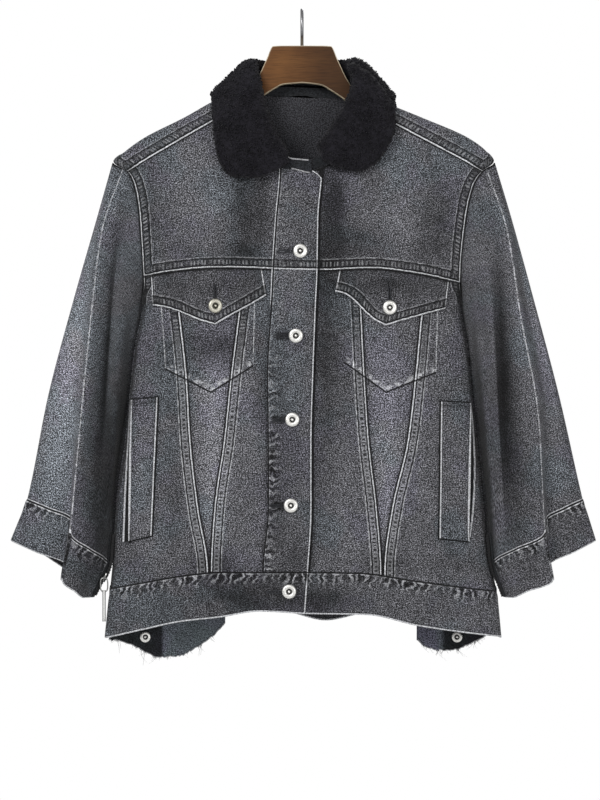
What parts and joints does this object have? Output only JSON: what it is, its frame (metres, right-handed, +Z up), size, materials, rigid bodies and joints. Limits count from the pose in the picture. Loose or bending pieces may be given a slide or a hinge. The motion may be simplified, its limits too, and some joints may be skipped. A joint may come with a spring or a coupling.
{
  "type": "pile-collar denim jacket on a hanger",
  "caption": "Washed-black denim trucker jacket with a dark pile collar, wide three-quarter sleeves and zipped cuffs, on a wooden hanger with a wire hook.",
  "frame": {"origin": "the point inside the top of the hanger's hook that bears on a rail", "axes": "+Z up, the jacket's front faces -Y, +X to the viewer's right of the front"},
  "size_m": [0.6887, 0.0884, 0.7653],
  "materials": {
    "denim": "washed-black denim, faded at seams",
    "dark_denim": "unwashed dark denim",
    "pile": "near-black looped pile",
    "silver_metal": "worn silver plating",
    "zip_teeth": "silver metal teeth on dark tape",
    "pull_strip": "pale grey woven strip",
    "wood": "mid-brown stain, satin",
    "hook_wire": "dull steel wire"
  },
  "bodies": {
    "jacket": {"back_hem_band": "denim", "back_panel": "denim", "back_tail_left": "dark_denim", "back_tail_right": "dark_denim", "back_yoke": "denim", "chest_flap_left": "denim", "chest_flap_right": "denim", "chest_pocket_left": "denim", "chest_pocket_right": "denim", "collar": "pile", "collar_stand": "dark_denim", "cuff_left": "denim", "cuff_right": "denim", "flap_button_left": "silver_metal", "flap_button_right": "silver_metal", "front_button_1": "silver_metal", "front_button_2": "silver_metal", "front_button_3": "silver_metal", "front_button_4": "silver_metal", "front_button_5": "silver_metal", "front_centre_left": "denim", "front_centre_right": "denim", "front_hem_band_left": "denim", "front_hem_band_right": "denim", "front_insert_left": "denim", "front_insert_right": "denim", "front_side_left": "denim", "front_side_right": "denim", "front_yoke_left": "denim", "front_yoke_right": "denim", "hand_pocket_welt_left": "denim", "hand_pocket_welt_right": "denim", "hanger_hook": "hook_wire", "hanger_wood": "wood", "placket": "denim", "press_stud_left": "silver_metal", "press_stud_right": "silver_metal", "sleeve_left": "denim", "sleeve_right": "denim", "zip_chain_left": "zip_teeth", "zip_chain_right": "zip_teeth", "zip_slider": "silver_metal"},
    "zip_pull": {"zip_pull_ring": "silver_metal", "zip_pull_tab": "pull_strip"}
  },
  "joints": [
    {"name": "zip_pull_swing", "type": "hinge", "parent": "jacket", "child": "zip_pull", "pos_m": [-0.23209, -0.01484, -0.66561], "axis": [-1, 0, 0], "range_deg": [-8, 150]}
  ]
}
